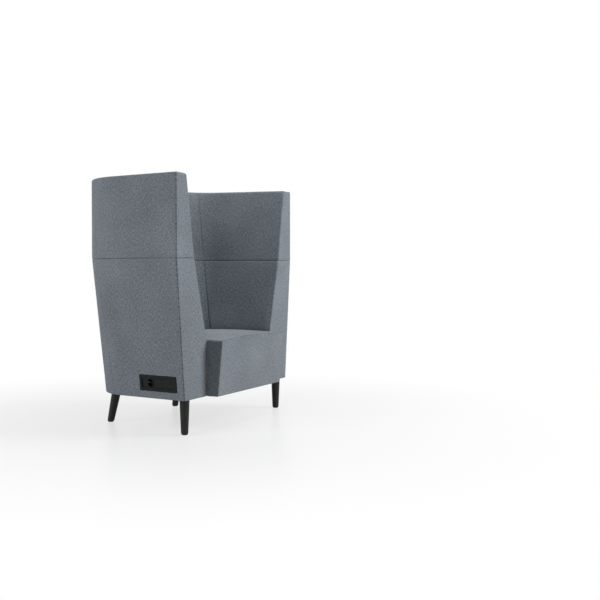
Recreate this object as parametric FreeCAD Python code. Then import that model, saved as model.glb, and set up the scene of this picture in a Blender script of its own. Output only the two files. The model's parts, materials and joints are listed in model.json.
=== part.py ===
import FreeCAD, Part

import math
import os

from FreeCAD import Vector

# Acoustic high back lounge chair.
# Millimetres, +Z up. The chair faces -Y, +X is the sitter's left.
# The origin is on the floor, under the middle of the overall box.

# Overall sizes
overall_width = 1200.0
overall_depth = 770.0
overall_height = 1200.0
seat_height = 435.0
seam_height = 815.0
body_bottom = 163.0
seat_overhang = 85.0

# Plan of the surround shell: straight sides that close in towards the back,
# a round corner and a gently curved back
plan_taper = math.radians(8.7)
corner_radius = 315.0
back_radius = 1360.0

# Wall of the shell, measured inwards from the upper outer face
lower_draw_in = 64.0
wall_at_top = 88.0
wall_at_seam = 154.0
wall_at_seat = 260.0
seam_angle_top = math.radians(38.0)
seam_angle_mid = math.radians(30.0)

# Layers of the wall
outer_pad = 12.0
panel_thickness = 18.0
inner_panel = 12.0
inner_pad = 40.0
front_pad = 22.0
top_pad = 20.0
edge_softness = 7.0
seam_softness = 3.0
rail_height = 18.0
rail_depth = 48.0
post_depth = 20.0

# Seat
seat_undercut = 25.0
seat_crown = 12.0
seat_side_clearance = 1.0
skirt_clearance = 0.5
cushion_thickness = 132.0
seat_pad = 25.0
seat_side_pad = 15.0
seat_roll = 14.0
webbing_width = 60.0
webbing_thickness = 2.0
webbing_straps = 5
cross_straps = 3
webbing_margin = 4.0
seat_rail_width = 28.0
seat_rail_height = 60.0
corner_block = 44.0

# Base
board_thickness = 18.0
dust_cover_thickness = 1.5
dust_cover_margin = 10.0
board_clearance = 0.5

# Legs
leg_top_diameter = 47.0
leg_foot_diameter = 34.0
leg_foot_chamfer = 1.5
front_leg_inset_x = 56.0
front_leg_inset_y = 35.0
rear_leg_from_corner = 59.4
rear_leg_inset_y = 74.0
rear_leg_rake = 28.0
rear_leg_splay = 14.0
leg_plate_size = 52.0
leg_plate_thickness = 2.5
leg_plate_shift = 14.0
plate_corner = 6.0
plate_margin = 2.0
plate_screw_pitch = 38.0
plate_screw_diameter = 4.0
plate_screw_head = 7.5
plate_screw_head_height = 2.2
plate_screw_length = 16.0
stud_diameter = 8.0
stud_in_leg = 38.0
glide_diameter = 28.0
glide_height = 5.0
glide_chamfer = 1.5
glide_pin_diameter = 4.0
glide_pin_length = 14.0

# Bolts that hold the upper screen on the lower shell
bolt_diameter = 8.0
bolt_length = 32.0
bolt_head_across = 13.0
bolt_head_height = 5.3
bolt_clearance = 0.3
bolt_from_front = 70.0
bolt_spacing = 260.0
insert_diameter = 12.0
insert_length = 16.0

# Power module in the right hand wall
module_width = 226.0
module_height = 76.0
module_along = 153.5
module_up = 73.0
bezel_thickness = 3.0
bezel_border = 15.0
bezel_corner = 4.0
bezel_bevel = 1.5
bezel_screw = 3.0
bezel_screw_head = 5.6
bezel_screw_head_height = 1.2
bezel_screw_length = 10.0
lug_reach = 8.0
lug_height = 16.0
lug_clearance = 1.0
housing_lap = 3.0
housing_wall = 2.0
housing_depth = 46.0
divider_width = 2.0
cutout_clearance = 2.0
mains_width = 121.0
plate_sink = 1.5
plate_thickness = 2.5
plate_clearance = 0.3
plate_bevel = 0.6
socket_diameter = 39.0
socket_depth = 17.0
socket_wall = 2.0
socket_floor = 4.0
socket_flange = 1.2
flange_thickness = 0.8
pin_hole_diameter = 5.0
pin_pitch = 19.0
clip_width = 5.0
clip_thickness = 1.0
clip_inset = 0.4
grommet_diameter = 14.0
grommet_bore = 3.6
grommet_lip = 0.8
grommet_round = 0.7
grommet_shift = 13.5
grommet_rise = 10.0
socket_shift = 6.5
inlet_x = -40.0
inlet_width = 32.0
inlet_thickness = 11.0
inlet_contact = 3.4
inlet_contact_depth = 12.0
inlet_pitch = 9.0
inlet_clearance = 3.0

# Places that follow from the sizes
front_y = seat_overhang - overall_depth / 2
back_y = overall_depth / 2
half_width = overall_width / 2
board_bottom = body_bottom + dust_cover_thickness
board_top = board_bottom + board_thickness
cushion_bottom = seat_height - cushion_thickness
rail_top = cushion_bottom - 2 * webbing_thickness
leg_top = board_bottom - leg_plate_thickness
reach = 2 * overall_height


# Plan curve

def corner_centre():
    """Centre of the round corner: tangent to the side line and the back arc."""
    cos_t = math.cos(plan_taper)
    sin_t = math.sin(plan_taper)
    arc_centre_y = back_y - back_radius
    start_x = half_width - corner_radius * cos_t
    start_y = front_y - corner_radius * sin_t - arc_centre_y
    half_b = start_y * cos_t - start_x * sin_t
    c = start_x ** 2 + start_y ** 2 - (back_radius - corner_radius) ** 2
    run = -half_b + math.sqrt(half_b ** 2 - c)
    return start_x - run * sin_t, start_y + arc_centre_y + run * cos_t


corner_x, corner_y = corner_centre()
corner_end = math.atan2(corner_y - (back_y - back_radius), corner_x)


def side_x(offset, y):
    """Half width of the plan at y on the straight side, moved in by offset."""
    return half_width - offset / math.cos(plan_taper) - (y - front_y) * math.tan(plan_taper)


def corner_point(offset, angle, z):
    """Point on the round corner of the plan curve moved in by offset."""
    radius = corner_radius - offset
    return Vector(corner_x + radius * math.cos(angle), corner_y + radius * math.sin(angle), z)


def mirrored(point):
    """The same point on the other side of the chair."""
    return Vector(-point.x, point.y, point.z)


def plan_edges(offset, front, z):
    """Open plan curve from the left hand front round the back to the right hand front."""
    start = Vector(side_x(offset, front), front, z)
    bend = corner_point(offset, plan_taper, z)
    middle = corner_point(offset, (plan_taper + corner_end) / 2, z)
    end = corner_point(offset, corner_end, z)
    apex = Vector(0, back_y - offset, z)
    return [
        Part.LineSegment(start, bend).toShape(),
        Part.Arc(bend, middle, end).toShape(),
        Part.Arc(end, apex, mirrored(end)).toShape(),
        Part.Arc(mirrored(end), mirrored(middle), mirrored(bend)).toShape(),
        Part.LineSegment(mirrored(bend), mirrored(start)).toShape(),
    ]


def closed_plan(offset, front, z):
    """Closed wire: the plan curve and a straight front."""
    edges = plan_edges(offset, front, z)
    start = Vector(side_x(offset, front), front, z)
    edges.append(Part.LineSegment(mirrored(start), start).toShape())
    return Part.Wire(edges)


def plan_solid(offset, front, low, high):
    """Solid inside the plan curve, between two heights."""
    face = Part.Face(closed_plan(offset, front, low))
    return face.extrude(Vector(0, 0, high - low))


def outer_offset(z):
    """How far the outer face is drawn in: nothing above the seam."""
    if z >= seam_height:
        return 0.0
    return lower_draw_in * (seam_height - z) / (seam_height - body_bottom)


def inner_offset(z):
    """How far the inner face is from the upper outer face."""
    if z >= seam_height:
        share = (overall_height - z) / (overall_height - seam_height)
        return wall_at_top + (wall_at_seam - wall_at_top) * share
    if z >= seat_height:
        share = (seam_height - z) / (seam_height - seat_height)
        return wall_at_seam + (wall_at_seat - wall_at_seam) * share
    return wall_at_seat


def lofted_plan(offset_of, front, heights):
    """Solid whose plan curve changes from height to height."""
    wires = []
    for z in heights:
        wires.append(closed_plan(offset_of(z), front, z))
    return Part.makeLoft(wires, True, True)


def shell_between(outer_of, inner_of, front, heights):
    """Wall between two lofted plans, open at the front."""
    body = lofted_plan(outer_of, front, heights)
    hollow = lofted_plan(inner_of, front, heights)
    hollow_front = closed_front(inner_of, front, heights)
    return body.cut(hollow.fuse(hollow_front))


def closed_front(inner_of, front, heights):
    """Space in front of a hollow, so that the cut leaves no skin at the front plane."""
    wires = []
    for z in heights:
        x = side_x(inner_of(z), front)
        corners = [
            Vector(x, front, z),
            Vector(-x, front, z),
            Vector(-x, front - seat_overhang, z),
            Vector(x, front - seat_overhang, z),
            Vector(x, front, z),
        ]
        wires.append(Part.makePolygon(corners))
    return Part.makeLoft(wires, True, True)


# Cutting planes

def half_space(point, normal):
    """A big block on the side of a plane that the normal points to."""
    block = Part.makeBox(2 * reach, 2 * reach, reach, Vector(-reach, -reach, 0))
    turn = FreeCAD.Rotation(Vector(0, 0, 1), normal)
    block.Placement = FreeCAD.Placement(point, turn)
    return block


def slab(low, high):
    """Everything between two heights."""
    return Part.makeBox(2 * reach, 2 * reach, high - low, Vector(-reach, -reach, low))


def corner_seam_plane():
    """Block behind the plane of the sewn corner seam on the sitter's left."""
    top = corner_point(wall_at_top, seam_angle_top, overall_height)
    middle = corner_point(wall_at_seam, seam_angle_mid, seam_height)
    angle = (seam_angle_top + seam_angle_mid) / 2
    radial = Vector(math.cos(angle), math.sin(angle), 0)
    normal = radial.cross(top - middle)
    if normal.y < 0:
        normal = normal * -1
    return half_space(top, normal)


def flipped(shape):
    """The same shape on the other side of the chair."""
    return shape.mirror(Vector(0, 0, 0), Vector(1, 0, 0))


behind_left_seam = corner_seam_plane()
behind_right_seam = flipped(behind_left_seam)


def split_at_corners(shape):
    """Left hand wing, right hand wing and back of a part of the shell."""
    back = shape.common(behind_left_seam).common(behind_right_seam)
    wings = shape.cut(behind_left_seam.common(behind_right_seam))
    left_half = half_space(Vector(0, 0, 0), Vector(1, 0, 0))
    right_half = half_space(Vector(0, 0, 0), Vector(-1, 0, 0))
    return {
        "left": one_solid(wings.common(left_half)),
        "right": one_solid(wings.common(right_half)),
        "back": one_solid(back),
    }


def one_solid(shape):
    """The only solid of a result, or all of them as a compound."""
    if len(shape.Solids) == 1:
        return shape.Solids[0]
    return Part.makeCompound(shape.Solids)


def mitre_blocks(low, high):
    """Space in front of the mitre at the outer front corners, between two heights."""
    foot = Vector(side_x(outer_offset(low), front_y), front_y, low)
    head = Vector(side_x(outer_offset(high), front_y), front_y, high)
    diagonal = Vector(-1, 1, 0)
    normal = diagonal.cross(head - foot)
    if normal.y > 0:
        normal = normal * -1
    near_corner = Part.makeBox(reach, reach, high - low, Vector(0, -reach / 2, low))
    left = half_space(foot, normal).common(near_corner)
    return left, flipped(left)


# Shell walls

def cover_back(z):
    """Back of the outer cover, where the panel starts."""
    return outer_offset(z) + outer_pad


def panel_back(z):
    """Back of the outer panel, towards the hollow."""
    return cover_back(z) + panel_thickness


def rail_back(z):
    """Inner side of the rail that the upper screen stands on."""
    return panel_back(z) + rail_depth


def lining_face(z):
    """Face of the inner lining under its pad."""
    return inner_offset(z) - inner_pad


def lining_back(z):
    """Back of the inner lining, towards the hollow."""
    return lining_face(z) - inner_panel


def on_front(edge):
    """True for an edge that lies in the front plane."""
    return all(abs(vertex.Y - front_y) < 0.01 for vertex in edge.Vertexes)


def at_height(edge, z):
    """True for an edge at one height."""
    return all(abs(vertex.Z - z) < 0.01 for vertex in edge.Vertexes)


def softened(wall):
    """Round the edges that the upholstery rounds, small at the sewn seam."""
    rims = []
    for edge in wall.Edges:
        if at_height(edge, overall_height):
            rims.append(edge)
        elif on_front(edge) and edge.BoundBox.ZLength > rail_height:
            rims.append(edge)
    wall = wall.makeFillet(edge_softness, rims)
    seam = [edge for edge in wall.Edges if at_height(edge, seam_height)]
    return wall.makeFillet(seam_softness, seam)


def wall_layers(low, high, heights):
    """Whole upholstered wall of one storey of the shell, and its outer cover."""
    whole = softened(one_solid(shell_between(outer_offset, inner_offset, front_y, heights)))
    cover = whole.cut(shell_between(cover_back, inner_offset, front_y, heights))
    for corner in mitre_blocks(low, high):
        cover = cover.cut(corner)
    return whole, cover


def lower_shell():
    """Covers, pads, panels, rail and posts from the base up to the seam."""
    heights = [body_bottom, seat_height, seam_height]
    whole, cover = wall_layers(body_bottom, seam_height, heights)
    front = front_y + front_pad
    cavity = shell_between(cover_back, lining_face, front, heights)
    pad = whole.cut(cover).cut(cavity).cut(footprint(0, body_bottom - 1, board_top))
    standing = slab(board_top, seam_height)
    panel = shell_between(cover_back, panel_back, front, heights).common(standing)
    lining = shell_between(lining_back, lining_face, front, heights).common(standing)
    between = shell_between(panel_back, lining_back, front, heights)
    rail = between.common(slab(seam_height - rail_height, seam_height))
    post_zone = Part.makeBox(
        2 * reach, post_depth, seam_height - rail_height - board_top,
        Vector(-reach, front, board_top))
    return {
        "cover": cover,
        "pad": pad,
        "panel": panel,
        "lining": lining,
        "rail": rail,
        "posts": between.common(post_zone),
    }


def upper_screen():
    """Covers, pads, panels and rail from the seam up to the top edge."""
    heights = [seam_height, overall_height]
    whole, cover = wall_layers(seam_height, overall_height, heights)
    front = front_y + front_pad
    standing = slab(seam_height, overall_height - top_pad)
    panel = shell_between(cover_back, panel_back, front, heights).common(standing)
    rail_zone = slab(seam_height, seam_height + rail_height)
    rail = shell_between(panel_back, rail_back, front, heights).common(rail_zone)
    pad = whole.cut(cover).cut(panel).cut(rail)
    return {"cover": cover, "pad": pad, "panel": panel, "rail": rail}


# Bolts between the two storeys

def bolt_places():
    """Points on the middle line of the rails, round the whole plan."""
    offset = outer_pad + panel_thickness + rail_depth / 2
    places = []
    for y in (front_y + bolt_from_front, front_y + bolt_from_front + bolt_spacing):
        places.append(Vector(side_x(offset, y), y, seam_height))
    places.append(corner_point(offset, (seam_angle_mid + corner_end) / 2, seam_height))
    arc_radius = back_radius - offset
    back_x = bolt_spacing / 2
    rise = math.sqrt(arc_radius ** 2 - back_x ** 2)
    places.append(Vector(back_x, back_y - back_radius + rise, seam_height))
    return places + [mirrored(place) for place in places]


def cylinders(radius, low, high, places):
    """Upright cylinders between two heights at the given places."""
    solids = []
    for place in places:
        solids.append(Part.makeCylinder(radius, high - low, Vector(place.x, place.y, low)))
    return Part.makeCompound(solids)


def screen_bolts():
    """Hexagon bolts, put in from under the lower rail."""
    low = seam_height - rail_height
    solids = []
    for place in bolt_places():
        foot = Vector(place.x, place.y, low - bolt_head_height)
        head = hexagon(bolt_head_across, bolt_head_height, foot)
        shank = Part.makeCylinder(
            bolt_diameter / 2, bolt_length + bolt_head_height, foot)
        solids.append(head.fuse(shank).removeSplitter())
    return Part.makeCompound(solids)


def hexagon(across, height, foot):
    """Upright hexagonal prism with the given width across its flats."""
    radius = across / math.sqrt(3)
    corners = []
    for step in range(7):
        angle = math.radians(60 * step)
        corners.append(foot + Vector(radius * math.cos(angle), radius * math.sin(angle), 0))
    return Part.Face(Part.makePolygon(corners)).extrude(Vector(0, 0, height))


def screen_inserts():
    """Threaded sleeves in the upper rail that the bolts screw into."""
    places = bolt_places()
    low = seam_height
    high = seam_height + insert_length
    sleeves = cylinders(insert_diameter / 2, low, high, places)
    return sleeves.cut(cylinders(bolt_diameter / 2 + bolt_clearance, low - 1, high + 1, places))


# Seat

def behind_seat_face(depth):
    """Everything behind the leaning front face of the seat, moved back by depth."""
    point = Vector(0, front_y - seat_overhang + depth, seat_height)
    normal = Vector(0, seat_height - body_bottom, seat_undercut)
    return half_space(point, normal)


def behind(y):
    """Everything behind an upright plane across the chair."""
    return half_space(Vector(0, y, 0), Vector(0, 1, 0))


def bar_across(half, low, high):
    """Everything up to half from the middle, between two heights."""
    return Part.makeBox(2 * half, 2 * reach, high - low, Vector(-half, -reach, low))


def seat_half_width():
    """Half width of the seat between the wings' front faces."""
    return side_x(wall_at_seat + seat_side_clearance, front_y)


def seat_block():
    """Whole upholstered block: plan between the wings, leaning front and crown."""
    inset = wall_at_seat + seat_side_clearance
    high = seat_height + seat_crown
    half = seat_half_width()
    nose_y = front_y - seat_overhang
    nose = bar_across(half, body_bottom, high)
    nose = nose.common(behind(nose_y - seat_crown)).cut(behind(front_y))
    block = plan_solid(inset, front_y, body_bottom, high).fuse(nose).removeSplitter()
    block = block.common(behind_seat_face(0))
    crown_radius = (half ** 2 + seat_crown ** 2) / (2 * seat_crown)
    crown = Part.makeSphere(crown_radius)
    crown.rotate(Vector(0, 0, 0), Vector(0, 1, 0), 90)
    middle_y = (nose_y + back_y - inset) / 2
    crown.translate(Vector(0, middle_y, high - crown_radius))
    return one_solid(block.common(crown))


def rounded_nose(block):
    """Round the top and upright edges of the part in front of the wings."""
    edges = []
    for edge in block.Edges:
        box = edge.BoundBox
        upright = box.ZLength > box.XLength + box.YLength
        on_top = box.ZMin > seat_height - 2 * seat_crown
        if edge.CenterOfMass.y < front_y - 1.0 and (upright or on_top):
            edges.append(edge)
    return block.makeFillet(seat_roll, edges)


def seat_upholstery():
    """Cushion and front pad, which meet in the mitred seam along the top front edge."""
    block = rounded_nose(seat_block())
    nose_top = Vector(0, front_y - seat_overhang, seat_height)
    wedge = half_space(nose_top, Vector(0, -1, -1)).cut(behind_seat_face(seat_pad))
    skirt = block.common(slab(body_bottom, cushion_bottom)).cut(behind(front_y - skirt_clearance))
    core = bar_across(seat_half_width() - seat_side_pad, body_bottom - 1, cushion_bottom + 1)
    front_upholstery = block.common(wedge).fuse(skirt.cut(core)).removeSplitter()
    cushion = block.common(slab(cushion_bottom, reach)).cut(wedge)
    return one_solid(cushion), one_solid(front_upholstery)


def seat_front_panel():
    """Board behind the front pad, parallel to the leaning face."""
    zone = behind_seat_face(seat_pad).cut(behind_seat_face(seat_pad + panel_thickness))
    half = seat_half_width() - seat_side_pad - skirt_clearance
    return one_solid(zone.common(bar_across(half, board_top, rail_top)))


def seat_rails():
    """Side rails that follow the plan, and the rails across the front and the back."""
    inset = wall_at_seat + seat_side_clearance
    low = rail_top - seat_rail_height
    ring = plan_solid(inset, front_y, low, rail_top)
    ring = ring.cut(plan_solid(inset + seat_rail_width, front_y - 1.0, low, rail_top))
    rear = one_solid(ring.common(behind(corner_y)))
    sides = ring.cut(behind(corner_y))
    front_half = side_x(inset + seat_rail_width, front_y + seat_rail_width)
    front = bar_across(front_half, low, rail_top).common(behind_seat_face(seat_pad + panel_thickness))
    front = front.cut(behind(front_y + seat_rail_width))
    return Part.makeCompound(sides.Solids), rear, one_solid(front)


def corner_blocks():
    """Four blocks on the base board, under the rails' inner corners."""
    inset = wall_at_seat + seat_side_clearance + seat_rail_width
    low = rail_top - seat_rail_height
    front_block_y = front_y + seat_rail_width - corner_block
    rear_block_y = corner_y - corner_block
    blocks = []
    for y in (front_block_y, rear_block_y):
        x = side_x(inset, y + corner_block) - corner_block
        if y == rear_block_y:
            x = x + seat_rail_width
        block = Part.makeBox(corner_block, corner_block, low - board_top, Vector(x, y, board_top))
        blocks.append(block)
        blocks.append(flipped(block))
    return Part.makeCompound(blocks)


def spread(count, half):
    """Middles of equal strips that fill the width from -half to half."""
    step = 2 * half / count
    return [-half + step * (index + 0.5) for index in range(count)]


def webbing():
    """Straps from the front rail to the rear rail, and straps across on top of them."""
    inset = wall_at_seat + seat_side_clearance
    rear_y = back_y - inset
    rear_half = side_x(inset + seat_rail_width, corner_y)
    front_back = front_y - seat_overhang + seat_pad + panel_thickness + seat_undercut
    straps = []
    for x in spread(webbing_straps, rear_half):
        length = rear_y - webbing_margin - front_back
        strap = Part.makeBox(
            webbing_width, length, webbing_thickness,
            Vector(x - webbing_width / 2, front_back, rail_top))
        straps.append(strap)
    middle = (front_back + rear_y) / 2
    for shift in spread(cross_straps, (rear_y - front_back) / 2 - webbing_width):
        y = middle + shift
        half = side_x(inset, y + webbing_width / 2) - webbing_margin
        strap = Part.makeBox(
            2 * half, webbing_width, webbing_thickness,
            Vector(-half, y - webbing_width / 2, rail_top + webbing_thickness))
        straps.append(strap)
    room = plan_solid(inset + webbing_margin, front_back, rail_top, cushion_bottom)
    return Part.makeCompound(straps).common(room)


# Base

def footprint(gap, low, high):
    """Plan of the base inside the upholstery, with the nose that runs under the seat."""
    body = plan_solid(lower_draw_in + outer_pad + gap, front_y + front_pad + gap, low, high)
    nose_y = front_y - seat_overhang + seat_undercut + seat_pad + gap
    nose = bar_across(seat_half_width() - seat_side_pad - gap, low, high)
    nose = nose.common(behind(nose_y)).cut(behind(front_y + front_pad + gap))
    return one_solid(body.fuse(nose).removeSplitter())


def leg_tops():
    """Middles of the legs' tops: the left hand ones first."""
    front_top = Vector(
        side_x(lower_draw_in, front_y) - front_leg_inset_x,
        front_y + front_leg_inset_y, leg_top)
    rear_top = Vector(
        corner_x + rear_leg_from_corner,
        back_y - lower_draw_in - rear_leg_inset_y, leg_top)
    return {
        "front_left": front_top,
        "front_right": mirrored(front_top),
        "rear_left": rear_top,
        "rear_right": mirrored(rear_top),
    }


def leg_feet():
    """Middles of the legs' feet: the rear legs rake back and splay out."""
    feet = {}
    for name, top in leg_tops().items():
        foot = Vector(top.x, top.y, glide_height)
        if name.startswith("rear"):
            side = math.copysign(1, top.x)
            foot = foot + Vector(side * rear_leg_splay, rear_leg_rake, 0)
        feet[name] = foot
    return feet


def disc(radius, centre):
    """Round level wire."""
    return Part.Wire(Part.Circle(centre, Vector(0, 0, 1), radius).toShape())


def leg(top, foot):
    """Turned tapered leg, with a bore for its stud and one for the glide's pin."""
    body = Part.makeLoft(
        [disc(leg_foot_diameter / 2, foot), disc(leg_top_diameter / 2, top)], True, True)
    foot_edges = [edge for edge in body.Edges if at_height(edge, foot.z)]
    body = body.makeChamfer(leg_foot_chamfer, foot_edges)
    stud_bore = cylinders(stud_diameter / 2, top.z - stud_in_leg, top.z + 1, [top])
    pin_bore = cylinders(glide_pin_diameter / 2, foot.z - 1, foot.z + glide_pin_length, [foot])
    return one_solid(body.cut(stud_bore).cut(pin_bore))


def leg_studs():
    """Studs that stand in the legs and go up through the plates and the board."""
    tops = leg_tops().values()
    return cylinders(stud_diameter / 2, leg_top - stud_in_leg, board_top, tops)


def plate_middles():
    """Middles of the leg plates, moved from the legs towards the middle of the base."""
    middles = []
    for top in leg_tops().values():
        inwards = Vector(-math.copysign(1, top.x), -math.copysign(1, top.y), 0)
        middles.append((top + inwards * leg_plate_shift, inwards))
    return middles


def screw_places():
    """Three screws for each plate, on the corners that the leg doesn't cover."""
    places = []
    half = plate_screw_pitch / 2
    for middle, inwards in plate_middles():
        for dx, dy in ((half, half), (half, -half), (-half, half)):
            places.append(middle + Vector(inwards.x * dx, inwards.y * dy, 0))
    return places


def plate_blanks(margin, low, high):
    """Square blocks on the leg plates, between two heights."""
    size = leg_plate_size + 2 * margin
    blocks = []
    for middle, _ in plate_middles():
        corner = Vector(middle.x - size / 2, middle.y - size / 2, low)
        blocks.append(Part.makeBox(size, size, high - low, corner))
    return Part.makeCompound(blocks)


def leg_plates():
    """Steel plates under the board, bored for the studs and the screws."""
    plates = plate_blanks(0, leg_top, board_bottom)
    corners = [edge for edge in plates.Edges if edge.BoundBox.ZLength > 1.0]
    plates = plates.makeFillet(plate_corner, corners)
    plates = plates.cut(cylinders(
        stud_diameter / 2, leg_top - 1, board_bottom + 1, leg_tops().values()))
    return plates.cut(cylinders(
        plate_screw_diameter / 2, leg_top - 1, board_bottom + 1, screw_places()))


def plate_screws():
    """Pan head wood screws up through the plates into the board."""
    screws = []
    for place in screw_places():
        head_low = leg_top - plate_screw_head_height
        head = Part.makeCylinder(
            plate_screw_head / 2, plate_screw_head_height, Vector(place.x, place.y, head_low))
        shank = Part.makeCylinder(
            plate_screw_diameter / 2, plate_screw_length, Vector(place.x, place.y, leg_top))
        screws.append(head.fuse(shank).removeSplitter())
    return Part.makeCompound(screws)


def glides():
    """Feet with a pin up into the leg."""
    solids = []
    for foot in leg_feet().values():
        base = Part.makeCylinder(glide_diameter / 2, glide_height, Vector(foot.x, foot.y, 0))
        base = base.makeChamfer(glide_chamfer, [
            edge for edge in base.Edges if at_height(edge, 0) and edge.Length > glide_diameter])
        pin = Part.makeCylinder(
            glide_pin_diameter / 2, glide_height + glide_pin_length, Vector(foot.x, foot.y, 0))
        solids.append(base.fuse(pin).removeSplitter())
    return Part.makeCompound(solids)


def base_board():
    """Board that the shell stands on, bored for the legs and slotted for the inlet."""
    board = footprint(board_clearance, board_bottom, board_top)
    board = board.cut(cylinders(
        stud_diameter / 2, board_bottom - 1, board_top + 1, leg_tops().values()))
    board = board.cut(cylinders(
        plate_screw_diameter / 2, board_bottom - 1, leg_top + plate_screw_length,
        screw_places()))
    return one_solid(board.cut(inlet_space(inlet_clearance)))


def dust_cover():
    """Thin cloth under the board, cut out round the leg plates and the inlet."""
    cloth = footprint(dust_cover_margin, body_bottom, board_bottom)
    cloth = cloth.cut(plate_blanks(plate_margin, body_bottom - 1, board_bottom + 1))
    return one_solid(cloth.cut(inlet_space(inlet_clearance)))


# Power module. Its own X runs along the wall towards the chair's front,
# its own Y up the slope of the wall and its own Z straight out of the cloth.

def module_placement():
    """Where the module sits on the outer face of the right hand wall."""
    along = Vector(math.sin(plan_taper), math.cos(plan_taper), 0)
    level_out = Vector(-math.cos(plan_taper), math.sin(plan_taper), 0)
    rise = seam_height - body_bottom
    up = (level_out * lower_draw_in + Vector(0, 0, rise)).normalize()
    out = (level_out * rise - Vector(0, 0, lower_draw_in)).normalize()
    base = Vector(-side_x(lower_draw_in, front_y), front_y, body_bottom)
    centre = base + along * module_along + up * module_up
    turn = FreeCAD.Rotation(along * -1, up, out)
    return FreeCAD.Placement(centre, turn)


def on_wall(shape):
    """A piece drawn in the module's own axes, put on the wall."""
    placed = shape.copy()
    placed.Placement = module_placement().multiply(shape.Placement)
    return placed


def module_box(width, height, back, face, x=0.0, y=0.0):
    """Box round (x, y) in the module's own axes, from depth back to depth face."""
    return Part.makeBox(
        width, height, face - back, Vector(x - width / 2, y - height / 2, back))


def rounded(shape, radius):
    """Round the four corners that run along the module's own Z."""
    box = shape.BoundBox
    corners = [edge for edge in shape.Edges if abs(edge.BoundBox.ZLength - box.ZLength) < 0.01]
    return shape.makeFillet(radius, corners)


housing_width = module_width - 2 * (bezel_border - housing_lap)
housing_height = module_height - 2 * (bezel_border - housing_lap)
room_width = housing_width - 2 * housing_wall
room_height = housing_height - 2 * housing_wall
data_width = room_width - divider_width - mains_width
mains_x = -room_width / 2 + mains_width / 2
socket_x = mains_x - socket_shift
divider_x = -room_width / 2 + mains_width + divider_width / 2
data_x = room_width / 2 - data_width / 2
grommet_x = data_x + grommet_shift


def wall_cutout():
    """Hole for the module through the cover and the panel behind it."""
    hole = module_box(
        housing_width + 2 * (lug_reach + lug_clearance), housing_height + 2 * cutout_clearance,
        -housing_depth - cutout_clearance, bezel_thickness)
    return on_wall(hole)


def bezel():
    """Frame on the cloth round the plates."""
    frame = rounded(module_box(module_width, module_height, 0, bezel_thickness), bezel_corner)
    rim = [edge for edge in frame.Edges if at_height(edge, bezel_thickness)]
    frame = frame.makeChamfer(bezel_bevel, rim)
    window = module_box(
        module_width - 2 * bezel_border, module_height - 2 * bezel_border,
        -1, bezel_thickness + 1)
    frame = frame.cut(window)
    for x in bezel_screw_x():
        frame = frame.cut(Part.makeCylinder(
            bezel_screw / 2, bezel_thickness + 2, Vector(x, 0, -1)))
    return on_wall(frame)


def bezel_screw_x():
    """A screw in the middle of each short side of the frame."""
    x = housing_width / 2 + lug_reach / 2
    return [-x, x]


def bezel_screws():
    """Screws through the frame into the housing's lugs."""
    screws = []
    for x in bezel_screw_x():
        head = Part.makeCylinder(
            bezel_screw_head / 2, bezel_screw_head_height, Vector(x, 0, bezel_thickness))
        shank = Part.makeCylinder(
            bezel_screw / 2, bezel_thickness + bezel_screw_length,
            Vector(x, 0, -bezel_screw_length))
        screws.append(head.fuse(shank).removeSplitter())
    return on_wall(Part.makeCompound(screws))


def housing():
    """Box behind the frame, with screw lugs and a wall between mains and data."""
    box = rounded(module_box(housing_width, housing_height, -housing_depth, 0), housing_wall)
    lugs = module_box(housing_width + 2 * lug_reach, lug_height, -bezel_screw_length, 0)
    box = box.fuse(lugs).removeSplitter()
    for x in bezel_screw_x():
        box = box.cut(Part.makeCylinder(
            bezel_screw / 2, bezel_screw_length, Vector(x, 0, -bezel_screw_length)))
    room = module_box(room_width, room_height, -housing_depth + housing_wall, 1)
    divider = module_box(
        divider_width, room_height, -housing_depth + housing_wall, -plate_sink, divider_x)
    box = box.cut(room).fuse(divider).removeSplitter()
    slot = module_box(
        inlet_width, 2 * housing_wall + 2, inlet_back, inlet_face,
        inlet_x, -housing_height / 2)
    return on_wall(one_solid(box.cut(slot)))


def plate(width, x):
    """Cover plate that lies a little below the frame's face."""
    sheet = module_box(
        width - 2 * plate_clearance, room_height - 2 * plate_clearance,
        -plate_sink - plate_thickness, -plate_sink, x)
    rim = [edge for edge in sheet.Edges if at_height(edge, -plate_sink)]
    return sheet.makeChamfer(plate_bevel, rim)


def mains_plate():
    """Plate with the round opening of the mains socket."""
    hole = Part.makeCylinder(
        socket_diameter / 2 + socket_wall, plate_thickness + 2,
        Vector(socket_x, 0, -plate_sink - plate_thickness - 1))
    return on_wall(one_solid(plate(mains_width, mains_x).cut(hole)))


def socket_insert():
    """Round well with a flange, two pin holes and grooves for the earth springs."""
    face = -plate_sink
    low = face - socket_depth - socket_floor
    outer = socket_diameter / 2 + socket_wall
    body = Part.makeCylinder(outer, face - low, Vector(socket_x, 0, low))
    flange = Part.makeCylinder(outer + socket_flange, flange_thickness, Vector(socket_x, 0, face))
    body = body.fuse(flange).removeSplitter()
    well = Part.makeCylinder(
        socket_diameter / 2, socket_depth + 2 * flange_thickness,
        Vector(socket_x, 0, low + socket_floor))
    body = body.cut(well)
    for y in (-pin_pitch / 2, pin_pitch / 2):
        body = body.cut(Part.makeCylinder(
            pin_hole_diameter / 2, socket_floor + 2, Vector(socket_x, y, low - 1)))
    for clip in earth_clip_blocks():
        body = body.cut(clip)
    return on_wall(one_solid(body))


def earth_clip_blocks():
    """Spring strips let into the well's wall, left and right."""
    face = -plate_sink
    x = socket_diameter / 2 - clip_thickness / 2 + clip_inset
    low = face - socket_depth
    return [
        module_box(clip_thickness, clip_width, low, face - clip_inset, socket_x - x),
        module_box(clip_thickness, clip_width, low, face - clip_inset, socket_x + x),
    ]


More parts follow.
